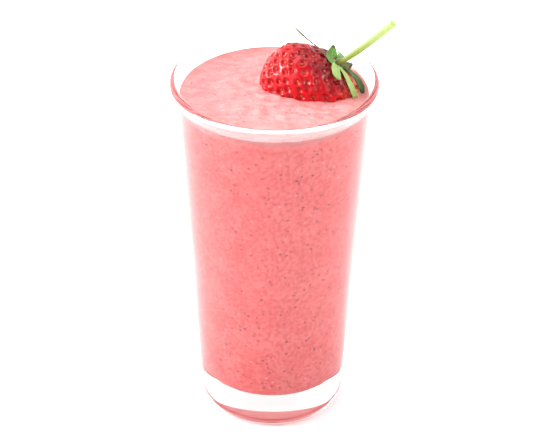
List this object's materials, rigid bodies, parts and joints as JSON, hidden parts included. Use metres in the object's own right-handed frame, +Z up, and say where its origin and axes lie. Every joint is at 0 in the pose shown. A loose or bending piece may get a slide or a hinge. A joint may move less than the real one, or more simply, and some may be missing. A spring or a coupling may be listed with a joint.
{
  "type": "strawberry smoothie",
  "caption": "Tall straight glass of thick pink smoothie with a whole strawberry, stalk up, standing in it at the rim.",
  "frame": {"origin": "centre of the flat face that the glass stands on", "axes": "+Z up through the rim, +X towards the side that the strawberry and its stem lean to, -Y towards the front"},
  "size_m": [0.0861, 0.08, 0.1681],
  "materials": {
    "glass": "clear, smooth, thick base",
    "smoothie": "thick opaque pink puree with fine specks, wet sheen on top",
    "strawberry": "wet glossy red skin with pitted seeds",
    "calyx": "green leaf, some of it dried brown",
    "stem": "pale yellow-green stalk"
  },
  "bodies": {
    "root": {"glass": "glass", "smoothie": "smoothie", "strawberry": "strawberry", "calyx": "calyx", "stem": "stem"}
  },
  "joints": []
}
